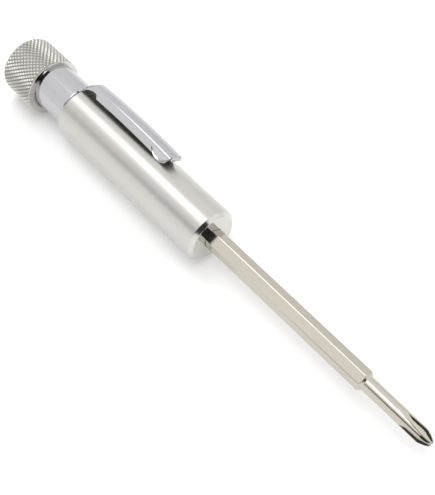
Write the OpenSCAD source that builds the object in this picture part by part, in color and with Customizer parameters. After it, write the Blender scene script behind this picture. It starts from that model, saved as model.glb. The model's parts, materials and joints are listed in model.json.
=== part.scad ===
// Pocket screwdriver: turned steel barrel, reversible hexagon blade, sprung pocket clip, knurled cap.
// It lies along X with its cross point towards +X and +Z up. The origin is under the middle of its
// length, on the surface that the cap touches.

/* [Barrel] */
// Diameter of the barrel
barrel_d = 12; // [11:0.1:14]
// Length of the barrel, from its rear face to its front face
barrel_l = 44.6; // [42:0.1:60]
// Chamfer round the front face
front_chamfer = 0.8; // [0.3:0.1:1.5]
// Radius of the barrel's rear edge
rear_round = 0.5; // [0.2:0.1:0.8]
// Diameter of the spigot behind the barrel, which carries the clip and the cap's thread
spigot_d = 8.35; // [7:0.05:8.6]
// Length of thread inside the cap
thread_l = 6; // [4:0.1:7.5]
// Chamfer at the end of the spigot
spigot_chamfer = 0.5; // [0.2:0.1:0.8]
// Diameter of the round bore behind the hexagon socket
bore_d = 4.2; // [3.8:0.1:4.6]

/* [Blade] */
// Width of the hexagon across its flats
hex_af = 4; // [3.6:0.1:4.4]
// Length of hexagon in front of the barrel
hex_out = 42.1; // [30:0.1:60]
// Length of hexagon inside the barrel
hex_in = 20; // [14:0.5:22]
// Diameter of the round neck at each end
neck_d = 3.2; // [2.6:0.1:3.6]
// Length from the hexagon to the point, at each end
tip_l = 16.4; // [12:0.1:17]
// Length of the flutes of the cross point
flute_l = 6.4; // [5:0.1:8]
// Angle between the two sides of a flute
flute_angle = 90; // [80:1:100]
// Radius of the core between the flutes, at the point
core_r = 0.4; // [0.3:0.05:0.6]
// Length of the cone at the cross point
point_l = 2.3; // [1.5:0.1:3]
// Diameter of the flat at the cross point
point_d = 1.1; // [0.8:0.1:1.6]
// Thickness of the slotted point
slot_t = 0.6; // [0.4:0.1:1]
// Length of the two ground faces of the slotted point
grind_l = 8; // [5:0.5:10]

/* [Blade holder] */
// Distance of the retaining ring from the front face
ring_back = 6; // [3:0.5:10]
// Diameter of the retaining ring's wire
ring_wire = 0.6; // [0.4:0.05:0.8]
// Opening of the retaining ring
ring_opening = 40; // [20:1:80]
// Diameter of the magnet
magnet_d = 4; // [3.4:0.1:4.1]
// Length of the magnet
magnet_l = 3; // [2:0.1:4]
// Diameter of the stop screw
screw_d = 5; // [4.7:0.1:5.6]
// Length of the stop screw
screw_l = 5; // [4:0.5:8]
// Width of the stop screw's hexagon socket across its flats
screw_key = 2.5; // [2:0.1:3]
// Depth of the stop screw's socket
screw_key_l = 2.5; // [1.5:0.1:3]

/* [Clip] */
// Outer diameter of the band
band_d = 10.55; // [10:0.05:11.2]
// Space for the band, from the barrel's rear face to the cap
band_l = 9.7; // [8:0.1:14]
// Thickness of the clip's sheet
sheet_t = 0.5; // [0.4:0.05:0.6]
// Turn of the clip about the tool's axis, from straight up
clip_roll = 31; // [0:1:60]
// Half of the angle that the arm's root spans on the band
root_angle = 28; // [20:1:40]
// Distance from the arm's root to the barrel's rear face
root_back = 0.55; // [0.4:0.05:1]
// Slope of the arm where it rises out of the band
rise_angle = 52; // [48:1:58]
// Length over which the rise turns from round to flat
rise_l = 2; // [1.5:0.1:3]
// Clear height between the barrel and the arm's sheet at the top of its bow
arm_gap = 2.28; // [1.8:0.02:3]
// Width of the arm
arm_w = 3.86; // [3.4:0.02:6]
// Reach of the arm in front of the barrel's rear face
arm_reach = 28.8; // [22:0.1:36]
// Fall of the arm from the top of its bow to its end
bow_fall = 0.55; // [0.2:0.05:0.8]
// Outer radius of the folds along the arm
fold_r = 0.7; // [0.65:0.05:1]
// Depth of the folded edge at the knee, before the flanges start
knee_depth = 1.1; // [0.8:0.05:1.3]
// Distance of the flanges from the barrel's rear face
flange_from = 4.4; // [3.5:0.1:8]
// Depth of the flanges where they start
flange_start = 1.9; // [1.4:0.05:2.1]
// Depth of the flanges at the foot
flange_depth = 2.05; // [1.6:0.05:2.3]
// Radius of the foot's round underside
foot_r = 3; // [2:0.1:5]
// Distance of the foot's middle from the arm's end
foot_back = 3.3; // [2.4:0.1:6]
// Clear height between the foot and the barrel
foot_gap = 0.4; // [0.1:0.05:0.6]
// Depth of the lip that closes the arm's end
lip_depth = 0.75; // [0.6:0.05:1]

/* [Cap] */
// Diameter of the cap over the knurl
cap_d = 13.6; // [13:0.1:16]
// Length of the cap
cap_l = 9.8; // [9:0.1:14]
// Length of the rear chamfer
cap_chamfer_l = 1; // [0.5:0.1:1.5]
// Height of the rear chamfer
cap_chamfer_h = 0.35; // [0.2:0.05:1]
// Width of the plain rim in front of the knurl
rim_l = 0.5; // [0.3:0.1:1]
// Chamfer of the rim
rim_chamfer = 0.25; // [0.1:0.05:0.4]
// Pitch of the knurl round the cap
knurl_pitch = 1; // [0.8:0.05:1.6]
// Pitch of the knurl along the cap
knurl_row = 1.2; // [0.9:0.05:2]
// Depth of the knurl
knurl_depth = 0.3; // [0.15:0.05:0.4]
// Outer diameter of the washer
washer_d = 10.4; // [10:0.1:11]
// Thickness of the washer
washer_t = 0.6; // [0.4:0.05:1]

/* [Fits] */
// Clearance of the hexagon in its socket, on each side
hex_gap = 0.06; // [0.03:0.01:0.1]
// Clearance of the thread and of the washer on the spigot, all round
thread_gap = 0.05; // [0.02:0.01:0.1]
// Clearance of the magnet and of the stop screw in the barrel, all round
screw_gap = 0.03; // [0.02:0.01:0.05]
// Clearance between pieces that meet end to end
end_gap = 0.05; // [0.02:0.01:0.1]
// Clearance between the band and the barrel's rear face
band_gap = 0.15; // [0.05:0.05:0.3]
// Clearance between the arm and what it swings past
swing_gap = 0.06; // [0.04:0.01:0.1]
// Spare depth at the bottom of a hole
relief = 0.5; // [0.3:0.1:1]

/* [Hidden] */
$fn = 96;
round_steps = 4;
barrel_r = barrel_d / 2;
spigot_r = spigot_d / 2;
neck_r = neck_d / 2;
cap_r = cap_d / 2;
band_r = band_d / 2;
arm_half = arm_w / 2;
hex_r = hex_af / 2 / cos(30);
socket_r = (hex_af / 2 + hex_gap) / cos(30);
hex_chamfer = hex_r - neck_r;

// Places along the tool, from its rear end to its point
total_l = cap_l + band_l + barrel_l + hex_out + tip_l;
x_end = -total_l / 2;
x_cap = x_end + cap_l;
x_rear = x_cap + band_l;
x_face = x_rear + barrel_l;
x_hex = x_face + hex_out;
x_tip = x_hex + tip_l;
x_slot = x_face - hex_in - tip_l;
x_magnet = x_slot - end_gap - magnet_l;
x_screw = x_magnet - end_gap - screw_l;
x_spigot = x_cap - thread_l;
axis_z = cap_r;

// The band hangs off centre: its bore rests on the spigot on the side away from the arm
band_lift = band_r - sheet_t - spigot_r - swing_gap / 2;
band_crown = band_lift + band_r;
x_root = x_rear - root_back;
x_arm_end = x_rear + arm_reach;
x_foot = x_arm_end - foot_back;
arm_crown = barrel_r + arm_gap + sheet_t;

// Lays a piece that was drawn along Z on the tool's axis
module along_axis() {
    translate([0, 0, axis_z]) rotate([0, 90, 0]) children();
}

// Turns a piece that was drawn with the clip straight up
module at_clip() {
    translate([0, 0, axis_z]) rotate([-clip_roll, 0, 0]) children();
}

// Cylinder from one place on the axis to another
module rod(r, from, to) {
    translate([0, 0, from]) cylinder(r = r, h = to - from);
}

// Hexagon bar with two of its edges up and down
module hex_bar(r, from, to) {
    translate([0, 0, from]) cylinder(r = r, h = to - from, $fn = 6);
}

// Cone from one place on the axis to another
module taper(r_from, r_to, from, to) {
    translate([0, 0, from]) cylinder(r1 = r_from, r2 = r_to, h = to - from);
}

function smooth(u) = let (v = max(0, min(1, u))) v * v * (3 - 2 * v);
function blend(a, b, u) = a + (b - a) * u;

// The barrel's outline, from the end of the spigot to the front face
barrel_outline = concat(
    [[0, x_spigot], [spigot_r - spigot_chamfer, x_spigot], [spigot_r, x_spigot + spigot_chamfer],
        [spigot_r, x_rear]],
    [for (k = [0 : round_steps])
        let (a = 90 * k / round_steps)
        [barrel_r - rear_round * (1 - sin(a)), x_rear + rear_round * (1 - cos(a))]],
    [[barrel_r, x_face - front_chamfer], [barrel_r - front_chamfer, x_face], [0, x_face]]);

// Turned from bar, with a hexagon socket in front and a tapped bore from the rear
module barrel() {
    socket_end = x_face - hex_in - relief;
    color([0.78, 0.78, 0.76]) along_axis() difference() {
        rotate_extrude() polygon(barrel_outline);
        hex_bar(socket_r, socket_end, x_face + relief);
        rod(socket_r + ring_wire, x_ring - ring_wire, x_ring + ring_wire);
        rod(bore_d / 2, x_magnet, socket_end + end_gap);
        rod(screw_d / 2 + screw_gap, x_spigot - relief, x_magnet);
    }
}

// One steel bar: a hexagon between two necks, a cross point in front and a slotted point behind
module blade() {
    x_in = x_face - hex_in;
    color([0.80, 0.78, 0.74]) along_axis() difference() {
        union() {
            intersection() {
                hex_bar(hex_r, x_in - hex_chamfer, x_hex + hex_chamfer);
                rotate_extrude() polygon([[0, x_in - hex_chamfer], [neck_r, x_in - hex_chamfer],
                    [hex_r + relief, x_in + relief], [hex_r + relief, x_hex - relief],
                    [neck_r, x_hex + hex_chamfer], [0, x_hex + hex_chamfer]]);
            }
            rod(neck_r, x_slot, x_tip - point_l);
            taper(neck_r, point_d / 2, x_tip - point_l, x_tip);
        }
        for (k = [0 : 3]) rotate([0, 0, flute_turn + 90 * k]) flute();
        for (side = [0, 180]) rotate([0, 0, side]) ground_face();
    }
}

// The cross point's wings lie square to the hexagon's flats
flute_turn = 45 + 30;

// Straight groove that starts at the neck's surface and reaches the core at the point
module flute() {
    dive = atan((neck_r - core_r) / flute_l);
    spread = neck_d * tan(flute_angle / 2);
    translate([neck_r, 0, x_tip - flute_l]) rotate([0, -dive, 0]) translate([0, 0, -flute_l])
        linear_extrude(3 * flute_l)
            polygon([[0, 0], [neck_d, -spread], [neck_d, spread]]);
}

// One of the slopes that leave the slotted point standing
module ground_face() {
    slope = atan((neck_r - slot_t / 2) / grind_l);
    translate([slot_t / 2, -neck_d, x_slot]) rotate([0, slope, 0])
        translate([0, 0, -neck_d]) cube([neck_d, 2 * neck_d, 2 * grind_l]);
}

x_ring = x_face - ring_back;

// Split spring ring in its groove, which bears on the edges of the hexagon
module retaining_ring() {
    color([0.55, 0.55, 0.57]) along_axis() translate([0, 0, x_ring]) rotate([0, 0, ring_opening / 2])
        rotate_extrude(angle = 360 - ring_opening)
            translate([hex_r + hex_gap / 2 + ring_wire / 2, 0]) circle(d = ring_wire, $fn = 24);
}

// Disc at the bottom of the bore, which holds the blade's end
module magnet() {
    color([0.62, 0.62, 0.64]) along_axis() rod(magnet_d / 2, x_magnet, x_magnet + magnet_l);
}

// Grub screw behind the magnet, driven by a key from the rear
module stop_screw() {
    color([0.25, 0.25, 0.27]) along_axis() difference() {
        rod(screw_d / 2, x_screw, x_screw + screw_l);
        hex_bar(screw_key / 2 / cos(30), x_screw - relief, x_screw + screw_key_l);
    }
}

// Wedge about the clip's direction, to cut a piece of the band out along its length
module root_wedge(half_angle, from, to) {
    reach = 2 * band_d;
    translate([from, 0, band_lift]) rotate([90, 0, 90]) linear_extrude(to - from)
        polygon([[0, 0], [-reach * tan(half_angle), reach], [reach * tan(half_angle), reach]]);
}

// Band of the clip, round the spigot, notched where the arm rises out of it
module clip_sleeve() {
    gap_angle = asin(end_gap / band_r);
    color([0.78, 0.78, 0.80]) at_clip() difference() {
        translate([0, 0, band_lift]) rotate([0, 90, 0]) difference() {
            rod(band_r, x_cap + end_gap, x_rear - band_gap);
            rod(band_r - sheet_t, x_cap - relief, x_rear + relief);
        }
        root_wedge(root_angle + gap_angle, x_root - end_gap, x_rear + relief);
    }
}

// Height of the arm's top over the tool's axis: a straight rise that eases into a shallow bow
ease = 1.6;
bow_part = 0.45;
x_bow = x_rear + bow_part * arm_reach;
function bow(x) = arm_crown - bow_fall * pow((x - x_bow) / (x_arm_end - x_bow), 2);
function rise(x) = band_crown + (x - x_root) * tan(rise_angle);
function crown(x) = let (a = rise(x), b = bow(x), h = max(ease - abs(a - b), 0) / ease)
    min(a, b) - h * h * ease / 4;

// Height of the barrel's surface beside the clip's middle plane
function barrel_top(y) = sqrt(barrel_r * barrel_r - y * y);

// Depth of the arm's edge under its top, at a place across the sheet
x_flange = x_rear + flange_from;
flange_step = flange_depth / 2;
end_depth = lip_depth + fold_r / 2;
function flange(x) = x > x_foot ? end_depth : blend(knee_depth,
    blend(flange_start, flange_depth, max(0, (x - x_flange) / (x_foot - x_flange))),
    smooth((x - x_flange) / flange_step));
function foot(x, y) = abs(x - x_foot) >= foot_r ? 0 :
    crown(x) - barrel_top(y) - foot_gap - foot_r + sqrt(foot_r * foot_r - pow(x - x_foot, 2));
function edge_depth(x, y) = max(flange(x), foot(x, y));

// Half sections of the sheet from its middle to its edge: a folded channel and a piece of the band
fold_angles = [30, 60];
band_steps = [0, 0.2, 0.45, 0.56, 0.67, 0.78, 1];
function channel_half(w, r, depth) = concat(
    [[0, 0], [(w - r) / 2, 0], [w - r, 0]],
    [for (a = fold_angles) [w - r + r * sin(a), -r * (1 - cos(a))]],
    [[w, -r], [w, -depth]]);
function band_half(r) = [for (s = band_steps) [r * sin(root_angle * s), -r * (1 - cos(root_angle * s))]];

// One side of the sheet at x, inset from the outer side and lowered from the top
function sheet_half(x, inset, drop) =
    let (u = smooth((x - x_root) / rise_l), w = arm_half - inset,
        flat = channel_half(w, fold_r - inset, edge_depth(x, w) - drop),
        curved = band_half(band_r - inset))
    [for (k = [0 : len(flat) - 1]) blend(curved[k], flat[k], u) + [0, crown(x) - drop]];

// Closed section: over the outer side and back along the inner side
function lip(x) = x > x_arm_end - sheet_t ? lip_depth : sheet_t;
function there_and_back(half) = concat(
    [for (k = [len(half) - 1 : -1 : 1]) [-half[k][0], half[k][1]]], half);
function section(x) =
    let (outer = there_and_back(sheet_half(x, 0, 0)),
        inner = there_and_back(sheet_half(x, sheet_t, lip(x))), n = len(inner))
    concat([for (p = outer) [x, p[0], p[1]]], [for (k = [n - 1 : -1 : 0]) [x, inner[k][0], inner[k][1]]]);

// Arm of the clip, lofted through sections from the band's notch to the closed end
lip_step = 0.02;
function spread(from, to, n) = [for (k = [0 : n - 1]) blend(from, to, k / n)];
arm_places = concat(
    spread(x_root, x_flange, 16),
    spread(x_flange, x_flange + flange_step, 4),
    spread(x_flange + flange_step, x_foot - foot_r, 8),
    spread(x_foot - foot_r, x_arm_end - sheet_t, 14),
    [x_arm_end - sheet_t, x_arm_end - sheet_t + lip_step, x_arm_end]);
module clip_arm() {
    rings = [for (x = arm_places) section(x)];
    n = len(rings[0]);
    last = (len(rings) - 1) * n;
    points = [for (ring = rings) each ring];
    sides = [for (j = [0 : len(rings) - 2], k = [0 : n - 1])
        let (a = j * n + k, b = j * n + (k + 1) % n) each [[a, b, b + n], [a, b + n, a + n]]];
    ends = [for (k = [0 : n / 2 - 2])
        let (a = k, b = k + 1, c = n - 2 - k, d = n - 1 - k)
        each [[a, c, b], [a, d, c], [last + a, last + b, last + c], [last + a, last + c, last + d]]];
    color([0.80, 0.80, 0.82]) at_clip() polyhedron(points, concat(sides, ends));
}

// Flat washer in the cap's recess, under the band's rear edge
module cap_washer() {
    color([0.30, 0.29, 0.28]) along_axis() difference() {
        rod(washer_d / 2, x_cap - washer_t, x_cap);
        rod(spigot_r + thread_gap, x_cap - washer_t - relief, x_cap + relief);
    }
}

// Diamond knurl: rows of pyramids between two crossing families of grooves, run out at both ends
knurl_columns = 2 * round(PI * cap_d / knurl_pitch);
knurl_from = x_end + cap_chamfer_l;
knurl_to = x_cap - rim_l;
knurl_rows = 2 * round((knurl_to - knurl_from) / knurl_row);
module diamond_knurl() {
    points = concat(
        [for (j = [0 : knurl_rows], i = [0 : knurl_columns - 1])
            let (at_end = j == 0 || j == knurl_rows, a = 360 * i / knurl_columns,
                r = cap_r - (at_end ? knurl_depth : knurl_depth * ((i + j) % 2)))
            [r * cos(a), r * sin(a), blend(knurl_from, knurl_to, j / knurl_rows)]],
        [[0, 0, knurl_from], [0, 0, knurl_to]]);
    first_end = (knurl_rows + 1) * knurl_columns;
    top_row = knurl_rows * knurl_columns;
    sides = [for (j = [0 : knurl_rows - 1], i = [0 : knurl_columns - 1])
        let (a = j * knurl_columns + i, b = j * knurl_columns + (i + 1) % knurl_columns,
            c = a + knurl_columns, d = b + knurl_columns)
        each (i + j) % 2 == 0 ? [[a, c, b], [b, c, d]] : [[a, d, b], [a, c, d]]];
    ends = [for (i = [0 : knurl_columns - 1])
        let (next = (i + 1) % knurl_columns)
        each [[first_end, i, next], [first_end + 1, top_row + next, top_row + i]]];
    polyhedron(points, concat(sides, ends));
}

// Blind screw cap: knurled grip, chamfered rear end, plain rim and a recess for the washer
module knurled_cap() {
    rim_r = cap_r - knurl_depth / 2;
    color([0.74, 0.73, 0.71]) along_axis() difference() {
        union() {
            taper(rim_r - cap_chamfer_h, rim_r, x_end, knurl_from);
            diamond_knurl();
            rod(rim_r, knurl_to, x_cap - rim_chamfer);
            taper(rim_r, rim_r - rim_chamfer, x_cap - rim_chamfer, x_cap);
        }
        rod(spigot_r + thread_gap, x_spigot - relief, x_cap);
        rod(washer_d / 2 + thread_gap, x_cap - washer_t - end_gap, x_cap + relief);
    }
}

barrel();
blade();
retaining_ring();
magnet();
stop_screw();
clip_sleeve();
clip_arm();
cap_washer();
knurled_cap();
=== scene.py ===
import json
import math

import bpy
import numpy as np
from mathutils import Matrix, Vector


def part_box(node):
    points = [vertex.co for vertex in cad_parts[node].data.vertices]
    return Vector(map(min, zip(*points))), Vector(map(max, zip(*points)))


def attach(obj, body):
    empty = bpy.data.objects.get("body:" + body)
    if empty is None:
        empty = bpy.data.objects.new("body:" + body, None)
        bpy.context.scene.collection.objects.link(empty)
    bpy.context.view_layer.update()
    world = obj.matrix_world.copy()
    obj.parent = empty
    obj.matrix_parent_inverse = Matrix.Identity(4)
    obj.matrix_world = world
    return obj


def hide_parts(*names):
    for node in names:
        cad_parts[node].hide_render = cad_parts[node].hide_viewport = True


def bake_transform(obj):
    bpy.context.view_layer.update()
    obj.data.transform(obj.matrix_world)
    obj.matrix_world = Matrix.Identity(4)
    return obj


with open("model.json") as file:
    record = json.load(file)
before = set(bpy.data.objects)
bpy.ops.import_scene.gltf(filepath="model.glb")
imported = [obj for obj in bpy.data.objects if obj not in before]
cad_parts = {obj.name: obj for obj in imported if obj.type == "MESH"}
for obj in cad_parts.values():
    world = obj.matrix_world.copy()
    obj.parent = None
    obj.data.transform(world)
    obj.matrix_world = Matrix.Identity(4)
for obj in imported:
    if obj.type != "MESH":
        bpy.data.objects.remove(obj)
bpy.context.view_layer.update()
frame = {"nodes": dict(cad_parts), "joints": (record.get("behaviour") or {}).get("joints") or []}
mm = 0.001  # sizes below are in millimetres
print("frame loaded:", sorted(frame["nodes"]))


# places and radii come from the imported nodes

def nodeBox(node):
    low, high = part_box(node)
    return low / mm, high / mm


capLow, capHigh = nodeBox("knurled_cap")
barrelLow, barrelHigh = nodeBox("barrel")
bladeLow, bladeHigh = nodeBox("blade")
sleeveLow, sleeveHigh = nodeBox("clip_sleeve")
armLow, armHigh = nodeBox("clip_arm")
washerLow, washerHigh = nodeBox("cap_washer")
magnetLow, magnetHigh = nodeBox("magnet")
screwLow, screwHigh = nodeBox("stop_screw")
ringLow, ringHigh = nodeBox("retaining_ring")

bandGap = 0.15  # room between the clip's band and the barrel, as in the solids
axisZ = (barrelLow.z + barrelHigh.z) / 2
barrelR = (barrelHigh.z - barrelLow.z) / 2
capR = (capHigh.z - capLow.z) / 2
hexR = (bladeHigh.z - bladeLow.z) / 2
xEnd, xCap = capLow.x, capHigh.x
xSpigot, xFace = barrelLow.x, barrelHigh.x
xRear = sleeveHigh.x + bandGap
xRoot, xArmEnd = armLow.x, armHigh.x
xSlot, xTip = bladeLow.x, bladeHigh.x


# mesh and node helpers

def around(count):
    return np.arange(count) * 2 * math.pi / count


def ring(x, radius, angles):
    # angles run from straight up towards +Y
    radius = np.broadcast_to(radius, angles.shape)
    return np.stack([np.full(angles.shape, x), radius * np.sin(angles),
                     axisZ + radius * np.cos(angles)], axis=1)


def meshPiece(name, points, faces, sharpDeg=28):
    mesh = bpy.data.meshes.new(name)
    mesh.from_pydata((np.asarray(points, float) * mm).tolist(), [], faces)
    mesh.polygons.foreach_set("use_smooth", [True] * len(mesh.polygons))
    mesh.set_sharp_from_angle(angle=math.radians(sharpDeg))
    piece = bpy.data.objects.new(name, mesh)
    bpy.context.scene.collection.objects.link(piece)
    return piece


def turnedPiece(name, rings, wrap=False, sharpDeg=28):
    # skin over rings of equal count; open ends get a flat face unless the rings wrap round
    count = len(rings[0])
    faces = []
    for j in range(len(rings) - (0 if wrap else 1)):
        a, b = j * count, (j + 1) % len(rings) * count
        faces += [(a + i, b + i, b + (i + 1) % count, a + (i + 1) % count) for i in range(count)]
    if not wrap:
        last = (len(rings) - 1) * count
        faces.append(tuple(range(count)))
        faces.append(tuple(range(last + count - 1, last - 1, -1)))
    return meshPiece(name, np.concatenate(rings), faces, sharpDeg)


def smoothStep(u):
    v = np.clip(u, 0, 1)
    return v * v * (3 - 2 * v)


def hexagonR(apothem, angles):
    # two edges straight up and down
    return apothem / np.cos(np.mod(angles, math.pi / 3) - math.pi / 6)


def roundedHexagonR(flatR, cornerR, angles):
    # reach of a hexagon whose corners are rounded, by direction from a corner
    off = np.abs(np.mod(angles + math.pi / 6, math.pi / 3) - math.pi / 6)
    middle = flatR / math.cos(math.pi / 6)
    inside = np.maximum(cornerR ** 2 - (middle * np.sin(off)) ** 2, 0)
    turn = math.atan2(cornerR / 2, middle + cornerR * math.cos(math.pi / 6))
    return np.where(off < turn, middle * np.cos(off) + np.sqrt(inside),
                    (flatR + cornerR) / np.cos(math.pi / 6 - off))


threadSteep = 1.5  # steeper than a plain V, which leaves flats on crest and root


def threadDip(x, angles, pitch):
    # 0 on the crest of a right-hand thread and 1 at its root
    phase = np.mod(x / pitch + angles / (2 * math.pi), 1)
    return np.clip(np.abs(2 * phase - 1) * threadSteep - (threadSteep - 1) / 2, 0, 1)


def addNode(tree, kind, settings=None, links=None):
    node = tree.nodes.new(kind)
    for key, value in (settings or {}).items():
        if isinstance(key, int) or key in node.inputs:
            node.inputs[key].default_value = value
        else:
            setattr(node, key, value)
    for key, source in (links or {}).items():
        tree.links.new(source, node.inputs[key])
    return node


def hexLinear(code):
    parts = [int(code[i:i + 2], 16) / 255 for i in (1, 3, 5)]
    return tuple(p / 12.92 if p <= 0.04045 else ((p + 0.055) / 1.055) ** 2.4 for p in parts) + (1,)


def dress(piece, body, slotName, *nodes, materials):
    for material in materials:
        piece.data.materials.append(material)
    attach(piece, body)
    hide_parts(*nodes)
    return piece


# finishes: each metal keeps its tool marks, as fine lines that shift gloss, colour and surface

def metalFinish(name, look):
    material = bpy.data.materials.new(name)
    material.use_nodes = True
    tree = material.node_tree
    tree.nodes.clear()
    place = addNode(tree, "ShaderNodeTexCoord").outputs["Object"]
    perMetre = 1 / (look["markMm"] * mm)
    stretched = addNode(tree, "ShaderNodeMapping", {"Scale": [perMetre * s for s in look["markAlong"]]},
                        {"Vector": place}).outputs["Vector"]
    marks = addNode(tree, "ShaderNodeTexNoise", {"Scale": 1, "Detail": 3, "Roughness": 0.6},
                    {"Vector": stretched}).outputs["Fac"]
    cloud = addNode(tree, "ShaderNodeTexNoise", {"Scale": 1 / (look["cloudMm"] * mm), "Detail": 2},
                    {"Vector": place}).outputs["Fac"]
    # sockets 6 and 7 hold the mix node's two colours, and output 2 their mix
    colour = addNode(tree, "ShaderNodeMix", {"data_type": "RGBA", 6: hexLinear(look["colour"]),
                                             7: hexLinear(look["shade"])}, {0: cloud})
    gloss = addNode(tree, "ShaderNodeMapRange", {"From Min": 0.3, "From Max": 0.7,
                                                 "To Min": look["roughness"][0],
                                                 "To Max": look["roughness"][1]}, {"Value": marks})
    bump = addNode(tree, "ShaderNodeBump", {"Strength": look["bump"], "Distance": look["depthMm"] * mm},
                   {"Height": marks})
    shader = addNode(tree, "ShaderNodeBsdfPrincipled", {"Metallic": 1},
                     {"Base Color": colour.outputs[2], "Roughness": gloss.outputs["Result"],
                      "Normal": bump.outputs["Normal"]})
    if look.get("anisotropic"):
        shader.inputs["Anisotropic"].default_value = look["anisotropic"]
        shader.inputs["Anisotropic Rotation"].default_value = 0.25  # a quarter turn: smeared along the tool
        tangent = addNode(tree, "ShaderNodeTangent", {"direction_type": "RADIAL", "axis": "X"})
        tree.links.new(tangent.outputs["Tangent"], shader.inputs["Tangent"])
    addNode(tree, "ShaderNodeOutputMaterial", {}, {"Surface": shader.outputs["BSDF"]})
    return material


# stainless bar turned on a lathe, then buffed: rings too fine to see singly smear light along the tool
turnedSteel = metalFinish("turnedStainless", {
    "colour": "#D0CFCB", "shade": "#CAC9C4", "roughness": (0.37, 0.41), "anisotropic": 0.85,
    "markMm": 0.3, "markAlong": (1, 0.02, 0.02), "cloudMm": 14, "bump": 0.02, "depthMm": 0.005})
# the faced end of the bar, cut clean enough to mirror the blade
facedSteel = metalFinish("facedStainless", {
    "colour": "#D3D2CD", "shade": "#CFCDC8", "roughness": (0.05, 0.07),
    "markMm": 0.4, "markAlong": (1, 1, 1), "cloudMm": 6, "bump": 0.005, "depthMm": 0.002})
# the chamfer round that face, left by the tool's corner: a softer mirror
chamferSteel = metalFinish("chamferedStainless", {
    "colour": "#D3D2CD", "shade": "#CFCDC8", "roughness": (0.15, 0.19),
    "markMm": 0.4, "markAlong": (1, 1, 1), "cloudMm": 6, "bump": 0.005, "depthMm": 0.002})
# bright nickel over ground hexagon bar: warm grey, faint lines along the bar
nickelPlate = metalFinish("brightNickel", {
    "colour": "#C5C0B5", "shade": "#C0BBB0", "roughness": (0.14, 0.18),
    "markMm": 0.3, "markAlong": (0.03, 1, 1), "cloudMm": 5, "bump": 0.01, "depthMm": 0.01})
# chromed spring steel: cooler and smoother than the bar, with the faint waviness of pressed sheet
chromePlate = metalFinish("chromedSpringSteel", {
    "colour": "#BEBEC0", "shade": "#BABABC", "roughness": (0.14, 0.18),
    "markMm": 1.2, "markAlong": (1, 1, 1), "cloudMm": 8, "bump": 0.03, "depthMm": 0.01})
# rolled diamond knurl: bruised crests; the grooves take a darker finish, which is painted shade
knurledSteel = metalFinish("knurledStainless", {
    "colour": "#DBDAD5", "shade": "#D0CEC9", "roughness": (0.34, 0.40),
    "markMm": 0.5, "markAlong": (1, 1, 1), "cloudMm": 2, "bump": 0.05, "depthMm": 0.01})
# the knurl's grooves and the cap's hollows: a little duller, and coloured darker as painted shade in the
# hollows, so they draw the diamonds
knurlGroovePaintedShade = metalFinish("knurlGroovePaintedShade", {
    "colour": "#ADABA6", "shade": "#A09E99", "roughness": (0.35, 0.45),
    "markMm": 0.5, "markAlong": (1, 1, 1), "cloudMm": 2, "bump": 0.05, "depthMm": 0.01})
# the clip's inner side: dull, and coloured dark as painted shade for the gap under the arm
insideShadePlate = metalFinish("clipInsidePaintedShade", {
    "colour": "#868584", "shade": "#7A7978", "roughness": (0.35, 0.45),
    "markMm": 0.5, "markAlong": (1, 1, 1), "cloudMm": 4, "bump": 0.03, "depthMm": 0.01})
# hard-drawn spring wire with die lines
drawnWire = metalFinish("drawnSpringWire", {
    "colour": "#A2A2A6", "shade": "#8C8C90", "roughness": (0.25, 0.35),
    "markMm": 0.2, "markAlong": (1, 1, 1), "cloudMm": 2, "bump": 0.04, "depthMm": 0.01})
# nickel on a sintered magnet: slightly pebbled
magnetNickel = metalFinish("nickeledMagnet", {
    "colour": "#B9B9BC", "shade": "#A9A9AD", "roughness": (0.15, 0.25),
    "markMm": 0.3, "markAlong": (1, 1, 1), "cloudMm": 2, "bump": 0.06, "depthMm": 0.01})
# black oxide on a grub screw: almost no colour, oily half gloss
blackOxide = metalFinish("blackOxide", {
    "colour": "#3A3A3E", "shade": "#2C2C30", "roughness": (0.30, 0.45),
    "markMm": 0.3, "markAlong": (1, 1, 1), "cloudMm": 1.5, "bump": 0.06, "depthMm": 0.01})
# plain stamped washer, rolled sheet
stampedSteel = metalFinish("stampedSteel", {
    "colour": "#B2AFA8", "shade": "#9D9A93", "roughness": (0.25, 0.4),
    "markMm": 0.3, "markAlong": (1, 0.1, 1), "cloudMm": 3, "bump": 0.05, "depthMm": 0.01})
print("finishes made")


# barrel: one skin over the outside, the front face, the socket and the bores

barrelLook = {"count": 192, "sharpDeg": 14,
              "frontChamfer": 0.8, "edgeBreak": 0.05, "breakEase": 0.2, "rearRound": 0.5, "roundSteps": 13,
              "spigotR": 4.175, "spigotChamfer": 0.5, "pitch": 1, "threadDepth": 0.5, "threadSteps": 10,
              "threadLead": 0.05, "threadRun": 0.2,
              "socketApothem": 2.06, "socketDeep": 20.5, "ringRoom": 0.6, "boreR": 2.1,
              "screwBoreR": 2.53, "screwPitch": 0.8, "screwThread": 0.35, "screwLead": 0.2,
              "screwRun": 0.4, "mouthLong": 0.35, "facedOver": 0.01}


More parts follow.
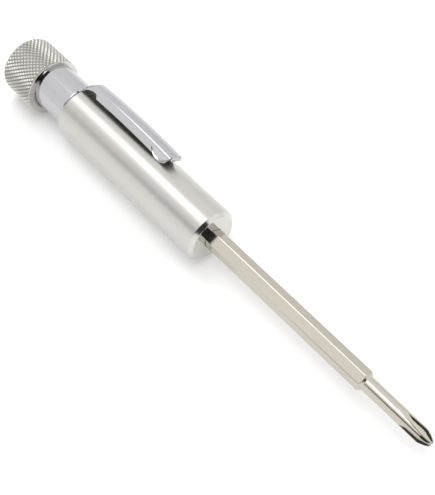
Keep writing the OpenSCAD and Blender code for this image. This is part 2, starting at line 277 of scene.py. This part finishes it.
def barrelRings(look):
    angles = around(look["count"])
    rings = []

    def add(x, radius):
        rings.append(ring(x, radius, angles))

    def addThread(start, stop, base, depth, pitch):
        steps = max(2, round(abs(stop - start) / pitch * look["threadSteps"]))
        for x in np.linspace(start, stop, steps + 1):
            fade = min(1, abs(x - stop) / pitch)  # the thread runs out where it stops
            add(x, base + depth * threadDip(x, angles, pitch) * fade)

    spigotR, bevel = look["spigotR"], look["edgeBreak"]
    add(xSpigot, look["screwBoreR"] + look["screwThread"])
    add(xSpigot, spigotR - look["spigotChamfer"])
    add(xSpigot + look["spigotChamfer"], spigotR - look["threadDepth"] / 2)
    addThread(xSpigot + look["spigotChamfer"] + look["threadLead"], xCap, spigotR, -look["threadDepth"],
              look["pitch"])
    add(xCap + look["threadRun"], spigotR)
    add(xRear, spigotR)
    for a in np.linspace(0, math.pi / 2, look["roundSteps"]):
        add(xRear + look["rearRound"] * (1 - math.cos(a)), barrelR - look["rearRound"] * (1 - math.sin(a)))
    chamfer, ease = look["frontChamfer"], bevel * look["breakEase"]
    add(xFace - chamfer - bevel, barrelR)
    add(xFace - chamfer + bevel / 2, barrelR - bevel / 2 - ease)
    add(xFace - bevel / 2 - ease, barrelR - chamfer + bevel / 2)
    add(xFace, barrelR - chamfer - bevel)
    socket = hexagonR(look["socketApothem"], angles)
    add(xFace, socket + bevel)
    add(xFace - bevel, socket)
    xRing = (ringLow.x + ringHigh.x) / 2
    grooveR = look["socketApothem"] / math.cos(math.pi / 6) + look["ringRoom"]
    add(xRing + look["ringRoom"], socket)
    add(xRing + look["ringRoom"], grooveR)
    add(xRing - look["ringRoom"], grooveR)
    add(xRing - look["ringRoom"], socket)
    add(xFace - look["socketDeep"], socket)
    add(xFace - look["socketDeep"], look["boreR"])
    add(magnetLow.x, look["boreR"])
    add(magnetLow.x, look["screwBoreR"])
    addThread(magnetLow.x - look["screwLead"], xSpigot + look["screwRun"], look["screwBoreR"],
              look["screwThread"], look["screwPitch"])
    add(xSpigot + look["mouthLong"], look["screwBoreR"])
    return rings


barrel = turnedPiece("barrel_body", barrelRings(barrelLook), wrap=True, sharpDeg=barrelLook["sharpDeg"])
dress(barrel, "handle", "turned_steel", "barrel", materials=[turnedSteel, facedSteel, chamferSteel])
# the front face takes the second finish and the chamfer round it the third
facedFrom = (xFace - barrelLook["frontChamfer"] - barrelLook["facedOver"]) * mm
facedR = (barrelR - barrelLook["frontChamfer"] - barrelLook["edgeBreak"]) * mm
for face in barrel.data.polygons:
    if min(barrel.data.vertices[v].co.x for v in face.vertices) > facedFrom:
        reach = math.hypot(face.center.y, face.center.z - axisZ * mm)
        face.material_index = 1 if reach < facedR else 2
print("barrel made")


# blade: hexagon bar between two necks, cross point in front, slotted point behind

bladeLook = {"count": 576, "sharpDeg": 24, "cornerR": 0.3, "hexIn": 20, "chamferSteps": 9,
             "neckR": 1.6, "tipLong": 16.4,
             "fluteLong": 7.8, "fluteDepth": (0.35, 0.95), "fluteRun": 3, "fluteSteps": 22, "flutesAt": 6,
             "wing": (0.78, 0.28, 0.18), "coreR": 0.15,
             "pointLong": 2.25, "pointR": 0.42, "pointBow": 0.62, "pointSteps": 12,
             "slotThick": 0.6, "grindLong": 8, "grindOver": 1.02, "grindSteps": 13,
             "leastSlant": 0.02}  # keeps the ground and fluted walls from running off to infinity


def bladeRings(look):
    angles = around(look["count"])
    neckR = look["neckR"]
    flatR = hexR * math.cos(math.pi / 6) - look["cornerR"]
    bar = roundedHexagonR(flatR, look["cornerR"], angles)
    xHexEnd, xHexStart = xTip - look["tipLong"], xFace - look["hexIn"]
    chamfer = hexR - neckR
    rings = []
    slant = np.maximum(np.abs(np.cos(angles)), look["leastSlant"])
    for x in np.linspace(xSlot, xSlot + look["grindLong"] * look["grindOver"], look["grindSteps"]):
        half = look["slotThick"] / 2 + (x - xSlot) / look["grindLong"] * (neckR - look["slotThick"] / 2)
        rings.append(ring(x, np.minimum(neckR, half / slant), angles))
    for step in np.linspace(0, 1, look["chamferSteps"]):
        rings.append(ring(xHexStart - chamfer * (1 - step), np.minimum(bar, neckR + chamfer * step), angles))
    for step in np.linspace(0, 1, look["chamferSteps"]):
        rings.append(ring(xHexEnd + chamfer * step, np.minimum(bar, hexR - chamfer * step), angles))
    away = np.mod(angles - math.radians(look["flutesAt"]) + math.pi / 4, math.pi / 2) - math.pi / 4
    slant = np.maximum(np.sin(math.pi / 4 - np.abs(away)), look["leastSlant"])
    xFlute, xPoint = xTip - look["fluteLong"], xTip - look["pointLong"]
    along = np.concatenate([np.linspace(xFlute, xPoint, look["fluteSteps"]),
                            np.linspace(xPoint, xTip, look["pointSteps"])[1:]])
    for x in along:
        cone = look["pointR"] + ((xTip - x) / look["pointLong"]) ** look["pointBow"] * (neckR - look["pointR"])
        outer = min(neckR, cone)
        depth = np.interp(x, (xFlute, xTip), look["fluteDepth"]) * smoothStep((x - xFlute) / look["fluteRun"])
        bottom = max(look["coreR"], outer - depth * outer / neckR)  # the flutes run out along the cone
        wall = np.interp(x, (xFlute, xPoint, xTip), look["wing"]) / slant
        rings.append(ring(x, np.minimum(outer, np.maximum(bottom / np.cos(away), wall)), angles))
    return rings


blade = turnedPiece("blade_bar", bladeRings(bladeLook), sharpDeg=bladeLook["sharpDeg"])
dress(blade, "bit", "nickel_steel", "blade", materials=[nickelPlate])
print("blade made")


# cap: fine mesh of rolled diamonds, cut by the chamfer and the rim, threaded inside

capLook = {"diamonds": 43, "subSteps": 4, "sharpDeg": 22,
           "rowMm": 1.2, "depth": 0.26, "land": 0.35, "grooveFrom": 0.6,
           "rimLong": 0.15, "rimStep": 0.02, "rimDrop": 0.1, "rimShare": 0.9, "rearLong": 0.7, "rearDrop": 0.32,
           "boreR": 4.225, "threadDepth": 0.45, "pitch": 1, "threadSteps": 10, "threadLead": 0.05,
           "recessGap": 0.05, "spigotRoom": 0.4}


def capRings(look):
    count = look["diamonds"] * 2 * look["subSteps"]
    angles = around(count)
    column = np.arange(count) / look["subSteps"]
    rings = []
    knurlFrom, knurlTo = xEnd, xCap - look["rimLong"]
    rows = round((knurlTo - knurlFrom) / (look["rowMm"] / 2)) * look["subSteps"]
    for j in range(rows + 1):
        x = knurlFrom + (knurlTo - knurlFrom) * j / rows
        row = j / look["subSteps"]
        a, b = (column + row) / 2, (column - row) / 2
        gap = 2 * np.minimum(np.abs(a - np.round(a)), np.abs(b - np.round(b)))  # 0 in a groove, 1 on a crest
        dip = 1 - np.minimum(gap / (1 - look["land"]), 1)
        cone = capR - look["rearDrop"] * (1 - min(1, (x - xEnd) / look["rearLong"]))
        rings.append(ring(x, np.minimum(capR - look["depth"] * dip, cone), angles))
    rimR = capR - look["depth"] / 2
    rings.append(ring(knurlTo + look["rimStep"], rimR, angles))
    rings.append(ring(xCap - look["rimDrop"] / 2, rimR, angles))
    rings.append(ring(xCap, rimR - look["rimDrop"], angles))
    recessR = (washerHigh.z - washerLow.z) / 2 + look["recessGap"]
    recessX = washerLow.x - look["recessGap"]
    rings.append(ring(xCap, recessR, angles))
    rings.append(ring(recessX, recessR, angles))
    rings.append(ring(recessX, look["boreR"], angles))
    stop = xSpigot - look["spigotRoom"]
    steps = round((recessX - stop) / look["pitch"] * look["threadSteps"])
    for x in np.linspace(recessX - look["threadLead"], stop, steps + 1):
        fade = min(1, (x - stop) / look["pitch"])
        cut = look["threadDepth"] * threadDip(x, angles, look["pitch"]) * fade
        rings.append(ring(x, look["boreR"] + cut, angles))
    return rings


cap = turnedPiece("cap_knurled", capRings(capLook), sharpDeg=capLook["sharpDeg"])
dress(cap, "cap", "knurled_steel", "knurled_cap", materials=[knurledSteel, knurlGroovePaintedShade, facedSteel])
# grooves, rear end, bore and thread take the second finish, coloured darker as painted shade; the front rim
# takes the third
for face in cap.data.polygons:
    corners = [cap.data.vertices[i].co for i in face.vertices]
    reach = [math.hypot(v.y, v.z - axisZ * mm) / mm for v in corners]
    if face.center.x > (xCap - capLook["rimLong"] * capLook["rimShare"]) * mm:
        face.material_index = 2
    elif capR - sum(reach) / len(reach) > capLook["depth"] * capLook["grooveFrom"]:
        face.material_index = 1
print("cap made")


# clip: one pressed sheet, a closed band that runs into the folded arm

clipLook = {"sheet": 0.5, "sharpDeg": 30, "edgeRound": 0.09, "edgeSegments": 2, "edgeDeg": 40,
            "bandRows": 12, "bandRound": 0.3, "bandTurn": 70, "bandSteps": 6, "backPoints": 80, "notchDeg": 2,
            "rootDeg": 28, "riseDeg": 52, "riseBend": 2.2, "blendLong": 2, "ease": 1.6, "kneeDepth": 1.1,
            "armW": 4.15, "armGap": 2.4, "bowFall": 0.55, "bowAt": 0.45, "foldR": 0.7, "camber": 0.16,
            "flangeFrom": 4.4, "flangeStep": 0.5, "flangeStart": 2.06, "flangeDepth": 2.22, "flareDeg": 8,
            "footR": 3, "footBack": 3.3, "footGap": 0.4, "endFold": 1.1, "lobeTiltDeg": 4, "lobeEdge": 0.2,
            "lipRound": 0.45, "lipDeep": 0.95, "lipSteps": 6,
            "topPoints": 5, "foldPoints": 6, "flangePoints": 9,
            "fineMm": 0.12, "coarseMm": 0.4, "fineAfter": 1, "fineBefore": 0.5}

flexAxis = next(j["axis"] for j in frame["joints"] if j["name"] == "clip_flex")
clipRoll = math.atan2(flexAxis[2], -flexAxis[1])
bandR = (sleeveHigh.y - sleeveLow.y) / 2
bandLift = math.hypot(sleeveHigh.y + sleeveLow.y, sleeveHigh.z + sleeveLow.z - 2 * axisZ) / 2
xFlange, xFoot = xRear + clipLook["flangeFrom"], xArmEnd - clipLook["footBack"]
footLow = math.sqrt(barrelR ** 2 - (clipLook["armW"] / 2) ** 2) + clipLook["footGap"]


def armCrown(x, look):
    bowMid = xRear + look["bowAt"] * (xArmEnd - xRear)
    top = barrelR + look["armGap"] + look["sheet"]
    bow = top - look["bowFall"] * ((x - bowMid) / (xArmEnd - bowMid)) ** 2
    rise = bandLift + bandR + (x - xRoot) * math.tan(math.radians(look["riseDeg"]))
    near = max(look["ease"] - abs(rise - bow), 0) / look["ease"]
    return min(rise, bow) - near * near * look["ease"] / 4


def armDepth(x, look):
    if x < xFlange:
        # up the rise the lower edge bends from the band to the knee
        edgeLow = bandLift + bandR * math.cos(math.radians(look["rootDeg"]))
        edgeHigh = armCrown(xFlange, look) - look["kneeDepth"]
        left = (xFlange - x) / (xFlange - xRoot)
        return armCrown(x, look) - edgeLow - (edgeHigh - edgeLow) * (1 - left ** look["riseBend"])
    share = (x - xFlange) / (xFoot - xFlange)
    flange = look["flangeStart"] + (look["flangeDepth"] - look["flangeStart"]) * share
    depth = look["kneeDepth"] + (flange - look["kneeDepth"]) * smoothStep((x - xFlange) / look["flangeStep"])
    if x > xFoot:
        depth = look["foldR"] * look["endFold"]
    away = abs(x - xFoot)
    if away < look["footR"]:
        lobe = math.sqrt(look["footR"] ** 2 - away ** 2)
        depth = max(depth, armCrown(x, look) - footLow - look["footR"] + lobe)
    return depth


def armHalf(x, look):
    # from the middle of the arm's top to its lower edge: across, down from the crown
    w, r, depth, crown = look["armW"] / 2, look["foldR"], armDepth(x, look), armCrown(x, look)
    flare, tilt = math.radians(look["flareDeg"]), math.radians(look["lobeTiltDeg"])
    flat = [(s * (w - r), -look["camber"] * s * s) for s in np.linspace(0, 1, look["topPoints"])]
    lean = math.atan(2 * look["camber"] / (w - r))
    flat += [(w - r + r * (math.sin(a) - math.sin(lean)), -look["camber"] - r * (math.cos(lean) - math.cos(a)))
             for a in np.linspace(lean, math.pi / 2 - flare, look["foldPoints"])[1:]]
    side, top = flat[-1][0], -flat[-1][1]
    for s in np.linspace(0, 1, look["flangePoints"])[1:]:
        down = top + s * (depth - top)
        fromMiddle = math.hypot(x - xFoot, crown - down - footLow - look["footR"])
        inside = smoothStep((look["footR"] - fromMiddle) / look["lobeEdge"])
        lean = math.tan(flare) - inside * (math.tan(flare) + math.tan(tilt))
        flat.append((side + lean * (down - top), -down))
    turn = math.radians(look["rootDeg"]) * np.linspace(0, 1, len(flat))
    curved = [(bandR * math.sin(a), -bandR * (1 - math.cos(a))) for a in turn]
    u = smoothStep((x - xRoot) / look["blendLong"])
    return [(c[0] + (f[0] - c[0]) * u, crown + c[1] + (f[1] - c[1]) * u) for c, f in zip(curved, flat)]


def clipPlace(x, across, up):
    # turns the clip from straight up to its place round the tool
    s, c = math.sin(clipRoll), math.cos(clipRoll)
    return (x, across * c + up * s, axisZ - across * s + up * c)


def clipMesh(look):
    points, faces = [], []
    half = armHalf(xRoot, look)
    armCount = 2 * len(half) - 1
    shares = np.linspace(-1, 1, armCount)
    notch = math.radians(look["rootDeg"] + look["notchDeg"])
    angles = np.concatenate([math.radians(look["rootDeg"]) * shares,
                             np.linspace(notch, 2 * math.pi - notch, look["backPoints"])])
    count = len(angles)

    def bandRow(x, drop=0):
        start = len(points)
        points.extend(clipPlace(x, (bandR - drop) * math.sin(a), bandLift + (bandR - drop) * math.cos(a))
                      for a in angles)
        return start

    rows = [bandRow(x) for x in np.linspace(sleeveLow.x, xRoot, look["bandRows"])]
    for a, b in zip(rows, rows[1:]):
        faces.extend((a + i, b + i, b + (i + 1) % count, a + (i + 1) % count) for i in range(count))
    turnR = look["bandRound"]
    frontRows = [rows[-1], bandRow(sleeveHigh.x - turnR)]
    frontRows += [bandRow(sleeveHigh.x - turnR * (1 - math.sin(a)), turnR * (1 - math.cos(a)))
                  for a in np.linspace(0, math.radians(look["bandTurn"]), look["bandSteps"])[1:]]
    for a, b in zip(frontRows, frontRows[1:]):
        faces.extend((a + i, b + i, b + i + 1, a + i + 1) for i in range(armCount, count - 1))
    # fine rows up the rise and at the foot, coarse ones between
    xCoarse, xFine = xFlange + look["fineAfter"], xFoot - look["footR"] - look["fineBefore"]
    stops = [(xRoot, xCoarse, "fineMm"), (xCoarse, xFine, "coarseMm"),
             (xFine, xArmEnd - look["lipRound"], "fineMm")]
    previous = rows[-1]
    for low, high, spacing in stops:
        for x in np.linspace(low, high, round((high - low) / look[spacing]) + 1)[1:]:
            side = armHalf(x, look)
            start = len(points)
            section = [(-p[0], p[1]) for p in side[:0:-1]] + side
            points.extend(clipPlace(x, p[0], p[1]) for p in section)
            faces.extend((previous + i, start + i, start + i + 1, previous + i + 1)
                         for i in range(armCount - 1))
            previous = start
    # the lip bends down between the folds to close the arm's end
    middle, reach = len(side) - 1, look["topPoints"] - 1
    lipRow = [previous + middle + k for k in range(-reach, reach + 1)]
    turns = [(look["lipRound"] * math.sin(a), look["lipRound"] * (1 - math.cos(a)))
             for a in np.linspace(0, math.pi / 2, look["lipSteps"])[1:]]
    turns.append((look["lipRound"], look["lipDeep"]))
    across = [side[abs(k)][0] * (1 if k >= 0 else -1) for k in range(-reach, reach + 1)]
    for out, down in turns:
        start = len(points)
        points.extend(clipPlace(xArmEnd - look["lipRound"] + out, e, side[0][1] - down) for e in across)
        row = list(range(start, start + len(across)))
        faces.extend((lipRow[i], row[i], row[i + 1], lipRow[i + 1]) for i in range(len(row) - 1))
        lipRow = row
    # band points under the arm that no face uses are dropped
    used = sorted({v for f in faces for v in f})
    renumber = {v: i for i, v in enumerate(used)}
    return [points[v] for v in used], [tuple(renumber[v] for v in f) for f in faces]


clip = meshPiece("clip_spring", *clipMesh(clipLook))
clip.data.materials.append(chromePlate)
clip.data.materials.append(insideShadePlate)
thicken = clip.modifiers.new("sheet", "SOLIDIFY")
thicken.thickness = clipLook["sheet"] * mm
thicken.offset = -1
# the inner side takes the second finish, the painted shade under the arm
thicken.material_offset = 1
soften = clip.modifiers.new("edges", "BEVEL")
soften.width = clipLook["edgeRound"] * mm
soften.segments = clipLook["edgeSegments"]
soften.limit_method = "ANGLE"
soften.angle_limit = math.radians(clipLook["edgeDeg"])
bpy.context.view_layer.objects.active = clip
for modifier in ("sheet", "edges"):
    bpy.ops.object.modifier_apply(modifier=modifier)
clip.data.set_sharp_from_angle(angle=math.radians(clipLook["sharpDeg"]))
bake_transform(clip)
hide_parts("clip_sleeve", "clip_arm")
print("clip made")


# small inner pieces: ring, magnet, stop screw and washer

ringLook = {"count": 16, "steps": 72, "openDeg": 40, "sharpDeg": 40}
magnetLook = {"count": 96, "boreR": 0, "edge": 0.15}
screwLook = {"count": 96, "pitch": 0.8, "threadDepth": 0.3, "threadSteps": 10, "threadLead": 0.1,
             "pointLong": 0.3, "pointDrop": 0.2, "keyApothem": 1.25, "keyDeep": 2.5, "keyFloor": 0.02}
washerLook = {"count": 96, "boreR": 4.225, "edge": 0.075}


def discRings(look, lowCorner, highCorner):
    angles = around(look["count"])
    low, high, outerR = lowCorner.x, highCorner.x, (highCorner.z - lowCorner.z) / 2
    innerR, edge = look["boreR"], look["edge"]
    rings = [ring(low, innerR + edge, angles), ring(low, outerR - edge, angles)]
    rings += [ring(low + edge, outerR, angles), ring(high - edge, outerR, angles)]
    rings += [ring(high, outerR - edge, angles), ring(high, innerR + edge, angles)]
    if innerR > 0:
        rings += [ring(high - edge, innerR, angles), ring(low + edge, innerR, angles)]
    return rings


def screwRings(look):
    angles = around(look["count"])
    outerR, depth = (screwHigh.z - screwLow.z) / 2, look["threadDepth"]
    key, keyX = hexagonR(look["keyApothem"], angles), screwLow.x + look["keyDeep"]
    rings = [ring(keyX, key * look["keyFloor"], angles), ring(keyX, key, angles),
             ring(screwLow.x, key, angles), ring(screwLow.x, outerR - depth, angles)]
    steps = round((screwHigh.x - screwLow.x) / look["pitch"] * look["threadSteps"])
    for x in np.linspace(screwLow.x + look["threadLead"], screwHigh.x - look["pointLong"], steps + 1):
        rings.append(ring(x, outerR - depth * threadDip(x, angles, look["pitch"]), angles))
    rings.append(ring(screwHigh.x, outerR - depth - look["pointDrop"], angles))
    return rings


def wireRings(look):
    wireR = (ringHigh.x - ringLow.x) / 2
    middleR = (ringHigh.y - ringLow.y) / 2 - wireR
    x = (ringLow.x + ringHigh.x) / 2
    half = math.radians(look["openDeg"]) / 2
    section = around(look["count"])
    r = middleR + wireR * np.cos(section)
    return [np.stack([x + wireR * np.sin(section), -r * math.sin(a), axisZ - r * math.cos(a)], axis=1)
            for a in np.linspace(half, 2 * math.pi - half, look["steps"])]


spring = turnedPiece("ring_spring", wireRings(ringLook), sharpDeg=ringLook["sharpDeg"])
dress(spring, "handle", "spring_wire", "retaining_ring", materials=[drawnWire])
magnet = turnedPiece("magnet_disc", discRings(magnetLook, magnetLow, magnetHigh))
dress(magnet, "handle", "magnet_nickel", "magnet", materials=[magnetNickel])
screw = turnedPiece("screw_grub", screwRings(screwLook))
dress(screw, "handle", "black_screw", "stop_screw", materials=[blackOxide])
washer = turnedPiece("washer_flat", discRings(washerLook, washerLow, washerHigh), wrap=True)
dress(washer, "thread", "washer_steel", "cap_washer", materials=[stampedSteel])
print("inner pieces made")


# studio: pale floor, white tent with a dark opening ahead of the tool and a dim gap in front, one overhead lamp

# dims are shares of the tent's light that a side lacks, and a negative one adds light; each side's ramp gives
# the part of the direction along X or Y at which its dim starts and is full
studio = {"floorMm": 3000, "floor": "#F6F6F6", "floorLift": 0.17, "tent": 1.15, "tentColour": "#FFFFFF",
          "nearDim": -0.05, "nearRamp": (0.25, -0.3), "farDim": 0.16, "farRamp": (0.6, 1),
          "behindDim": 0.06, "behindRamp": (-0.3, -0.5), "endDim": 0.35, "endRamp": (-0.75, -0.95),
          "opening": 0.98, "openingAt": -28, "openingHalf": 38, "openingLow": 0.16, "openingHigh": 0.87,
          "edge": 0.04,
          "gap": 1, "gapAt": 53, "gapHalf": 9, "gapSoft": (1.6, 0.4), "gapRamp": (-0.33, -0.22),
          "gapBehind": 0.05, "gapAhead": 1, "gapEnd": (0.94, 0.86),
          "lampPlace": (-78, -22, 320), "lampSize": (350, 110), "lampTurn": -25, "lampWatts": 0.31}


def studioFloor(look):
    half = look["floorMm"] / 2
    floor = meshPiece("studio_floor", [(-half, -half, 0), (half, -half, 0), (half, half, 0), (-half, half, 0)],
                      [(0, 1, 2, 3)])
    material = bpy.data.materials.new("palePaper")
    material.use_nodes = True
    tree = material.node_tree
    tree.nodes.clear()
    paper = addNode(tree, "ShaderNodeBsdfDiffuse", {"Color": hexLinear(look["floor"])})
    lift = addNode(tree, "ShaderNodeEmission", {"Strength": look["floorLift"]})
    both = addNode(tree, "ShaderNodeAddShader", {}, {0: paper.outputs["BSDF"], 1: lift.outputs["Emission"]})
    # the eye and the metal meet the lifted paper, but what it throws back on the tool is plain paper's light
    path = addNode(tree, "ShaderNodeLightPath")
    seen = addNode(tree, "ShaderNodeMath", {"operation": "ADD"},
                   {0: path.outputs["Is Camera Ray"], 1: path.outputs["Is Glossy Ray"]})
    seen = addNode(tree, "ShaderNodeMath", {"operation": "ADD", "use_clamp": True},
                   {0: seen.outputs["Value"], 1: path.outputs["Is Transmission Ray"]})
    shown = addNode(tree, "ShaderNodeMixShader", {},
                    {0: seen.outputs["Value"], 1: paper.outputs["BSDF"], 2: both.outputs["Shader"]})
    addNode(tree, "ShaderNodeOutputMaterial", {}, {"Surface": shown.outputs["Shader"]})
    floor.data.materials.append(material)


def studioWorld(look):
    world = bpy.data.worlds.new("whiteTent")
    bpy.context.scene.world = world
    world.use_nodes = True
    tree = world.node_tree
    tree.nodes.clear()
    way = addNode(tree, "ShaderNodeSeparateXYZ", {},
                  {"Vector": addNode(tree, "ShaderNodeTexCoord").outputs["Generated"]})
    # the opening lies round one compass direction, between two heights
    middle, edge = math.radians(look["openingAt"]), look["edge"]
    level = addNode(tree, "ShaderNodeCombineXYZ", {}, {"X": way.outputs["X"], "Y": way.outputs["Y"]})
    compass = addNode(tree, "ShaderNodeVectorMath", {"operation": "NORMALIZE"}, {0: level.outputs["Vector"]})
    ahead = addNode(tree, "ShaderNodeVectorMath",
                    {"operation": "DOT_PRODUCT", 1: (math.cos(middle), math.sin(middle), 0)},
                    {0: compass.outputs["Vector"]})
    limit = math.cos(math.radians(look["openingHalf"]))
    # the gap is a dim line over the front edge of the floor, deeper towards the tip and closed at its end
    slope = addNode(tree, "ShaderNodeMath", {"operation": "ARCTAN2"},
                    {0: way.outputs["Y"], 1: way.outputs["Z"]})
    offGap = addNode(tree, "ShaderNodeMath", {"operation": "ADD", 1: math.radians(look["gapAt"])},
                     {0: slope.outputs["Value"]})
    gapAway = addNode(tree, "ShaderNodeMath", {"operation": "ABSOLUTE"}, {0: offGap.outputs["Value"]})
    half = math.radians(look["gapHalf"])
    dims = [
        (look["opening"], ((ahead.outputs["Value"], limit - edge, limit + edge, 0, 1),
                           (way.outputs["Z"], look["openingLow"] - edge, look["openingLow"] + edge, 0, 1),
                           (way.outputs["Z"], look["openingHigh"] + edge, look["openingHigh"] - edge, 0, 1))),
        (look["gap"], ((gapAway.outputs["Value"], half * look["gapSoft"][0], half * look["gapSoft"][1], 0, 1),
                       (way.outputs["X"], *look["gapRamp"], look["gapBehind"], look["gapAhead"]),
                       (way.outputs["X"], *look["gapEnd"], 0, 1))),
        (look["nearDim"], ((way.outputs["Y"], *look["nearRamp"], 0, 1),)),
        (look["behindDim"], ((way.outputs["X"], *look["behindRamp"], 0, 1),)),
        (look["endDim"], ((way.outputs["X"], *look["endRamp"], 0, 1),)),
        (look["farDim"], ((way.outputs["Y"], *look["farRamp"], 0, 1),))]
    glow = None
    for reach, bounds in dims:
        shade = None
        for value, start, stop, low, high in bounds:
            mask = addNode(tree, "ShaderNodeMapRange",
                           {"interpolation_type": "SMOOTHSTEP", "From Min": start, "From Max": stop,
                            "To Min": low, "To Max": high}, {"Value": value}).outputs["Result"]
            shade = mask if shade is None else addNode(tree, "ShaderNodeMath", {"operation": "MULTIPLY"},
                                                       {0: shade, 1: mask}).outputs["Value"]
        left = addNode(tree, "ShaderNodeMath", {"operation": "MULTIPLY_ADD", 1: -reach, 2: 1}, {0: shade})
        glow = left if glow is None else addNode(tree, "ShaderNodeMath", {"operation": "MULTIPLY"},
                                                 {0: glow.outputs["Value"], 1: left.outputs["Value"]})
    tent = addNode(tree, "ShaderNodeMath", {"operation": "MULTIPLY", 1: look["tent"]},
                   {0: glow.outputs["Value"]})
    light = addNode(tree, "ShaderNodeBackground", {"Color": hexLinear(look["tentColour"])},
                    {"Strength": tent.outputs["Value"]})
    addNode(tree, "ShaderNodeOutputWorld", {}, {"Surface": light.outputs["Background"]})


def studioLamp(look):
    lamp = bpy.data.lights.new("overhead_lamp", "AREA")
    lamp.shape = "RECTANGLE"
    lamp.size, lamp.size_y = [s * mm for s in look["lampSize"]]
    lamp.energy = look["lampWatts"]
    holder = bpy.data.objects.new("overhead_lamp", lamp)
    bpy.context.scene.collection.objects.link(holder)
    holder.location = Vector(look["lampPlace"]) * mm
    holder.rotation_euler = (0, 0, math.radians(look["lampTurn"]))


studioFloor(studio)
studioWorld(studio)
studioLamp(studio)

# camera at the photo's viewpoint: long lens, level horizon
cameraLook = {"place": (90.68, -75.01, 170.18), "forward": (-0.43015, 0.37311, -0.82204), "lens": 72.87,
              "clipMm": 1}
camera = bpy.data.objects.new("camera", bpy.data.cameras.new("camera"))
bpy.context.scene.collection.objects.link(camera)
camera.location = Vector(cameraLook["place"]) * mm
camera.rotation_mode = "QUATERNION"
camera.rotation_quaternion = Vector(cameraLook["forward"]).to_track_quat("-Z", "Y")
camera.data.lens = cameraLook["lens"]
camera.data.clip_start = cameraLook["clipMm"] * mm
bpy.context.scene.camera = camera
bpy.context.scene.view_settings.view_transform = "Standard"
print("studio made")
